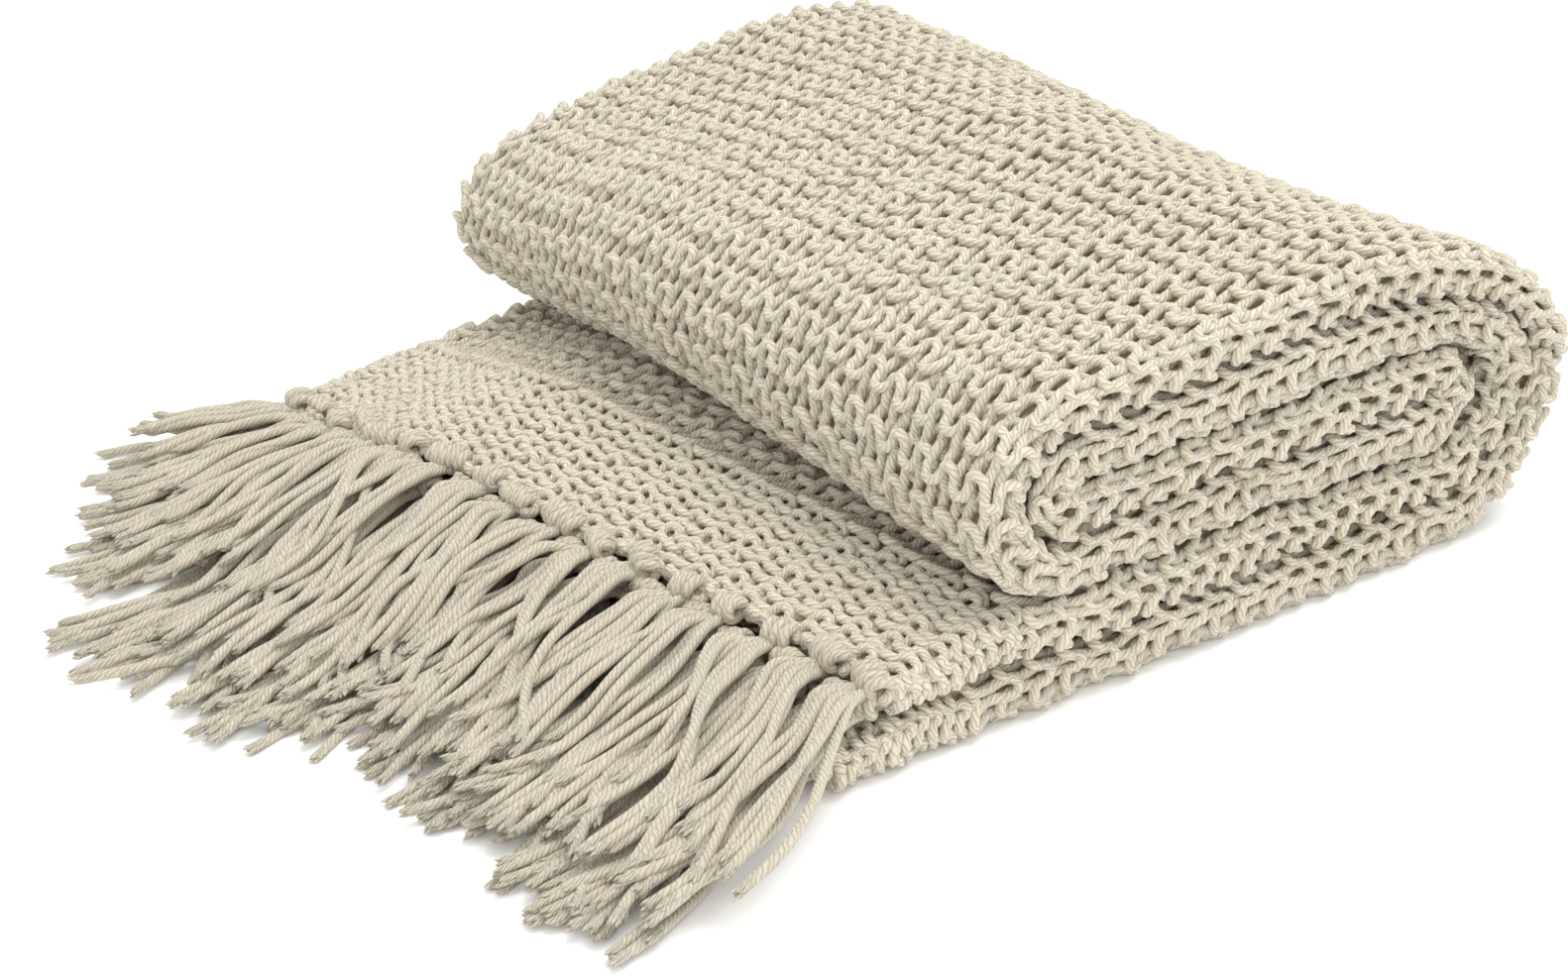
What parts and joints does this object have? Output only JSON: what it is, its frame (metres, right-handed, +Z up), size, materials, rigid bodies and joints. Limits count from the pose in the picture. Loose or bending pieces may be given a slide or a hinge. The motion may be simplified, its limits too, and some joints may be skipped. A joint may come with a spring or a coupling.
{
  "type": "folded throw blanket",
  "caption": "Chunky knitted cotton throw folded in thirds, doubled and rolled into a flat bundle, with knotted fringe spread out in front of it",
  "frame": {"origin": "centre of the underside of the whole throw's box, fringe included", "axes": "+Y from the fringe to the back of the roll, +X along the roll towards its wide fold, +Z up"},
  "size_m": [0.4396, 0.5272, 0.1352],
  "materials": {
    "field_yarn": "matte undyed cotton cord, garter stitch",
    "heading_yarn": "matte undyed cotton cord, closer purl-faced knit",
    "fringe_yarn": "matte undyed three-ply cotton cord"
  },
  "bodies": {
    "root": {"folded_cloth": "field_yarn", "heading_band_lower": "heading_yarn", "heading_band_upper": "heading_yarn", "tassel_lower_01": "fringe_yarn", "tassel_lower_02": "fringe_yarn", "tassel_lower_03": "fringe_yarn", "tassel_lower_04": "fringe_yarn", "tassel_lower_05": "fringe_yarn", "tassel_lower_06": "fringe_yarn", "tassel_lower_07": "fringe_yarn", "tassel_lower_08": "fringe_yarn", "tassel_lower_09": "fringe_yarn", "tassel_lower_10": "fringe_yarn", "tassel_lower_11": "fringe_yarn", "tassel_lower_12": "fringe_yarn", "tassel_lower_13": "fringe_yarn", "tassel_lower_14": "fringe_yarn", "tassel_lower_15": "fringe_yarn", "tassel_lower_16": "fringe_yarn", "tassel_lower_17": "fringe_yarn", "tassel_inner_01": "fringe_yarn", "tassel_inner_02": "fringe_yarn", "tassel_inner_03": "fringe_yarn", "tassel_inner_04": "fringe_yarn", "tassel_inner_05": "fringe_yarn", "tassel_inner_06": "fringe_yarn", "tassel_inner_07": "fringe_yarn", "tassel_inner_08": "fringe_yarn", "tassel_inner_09": "fringe_yarn", "tassel_inner_10": "fringe_yarn", "tassel_inner_11": "fringe_yarn", "tassel_inner_12": "fringe_yarn", "tassel_inner_13": "fringe_yarn", "tassel_inner_14": "fringe_yarn", "tassel_inner_15": "fringe_yarn", "tassel_inner_16": "fringe_yarn", "tassel_inner_17": "fringe_yarn", "tassel_outer_01": "fringe_yarn", "tassel_outer_02": "fringe_yarn", "tassel_outer_03": "fringe_yarn", "tassel_outer_04": "fringe_yarn", "tassel_outer_05": "fringe_yarn", "tassel_outer_06": "fringe_yarn", "tassel_outer_07": "fringe_yarn", "tassel_outer_08": "fringe_yarn", "tassel_outer_09": "fringe_yarn", "tassel_outer_10": "fringe_yarn", "tassel_outer_11": "fringe_yarn", "tassel_outer_12": "fringe_yarn", "tassel_outer_13": "fringe_yarn", "tassel_outer_14": "fringe_yarn", "tassel_outer_15": "fringe_yarn", "tassel_outer_16": "fringe_yarn", "tassel_outer_17": "fringe_yarn"}
  },
  "joints": []
}
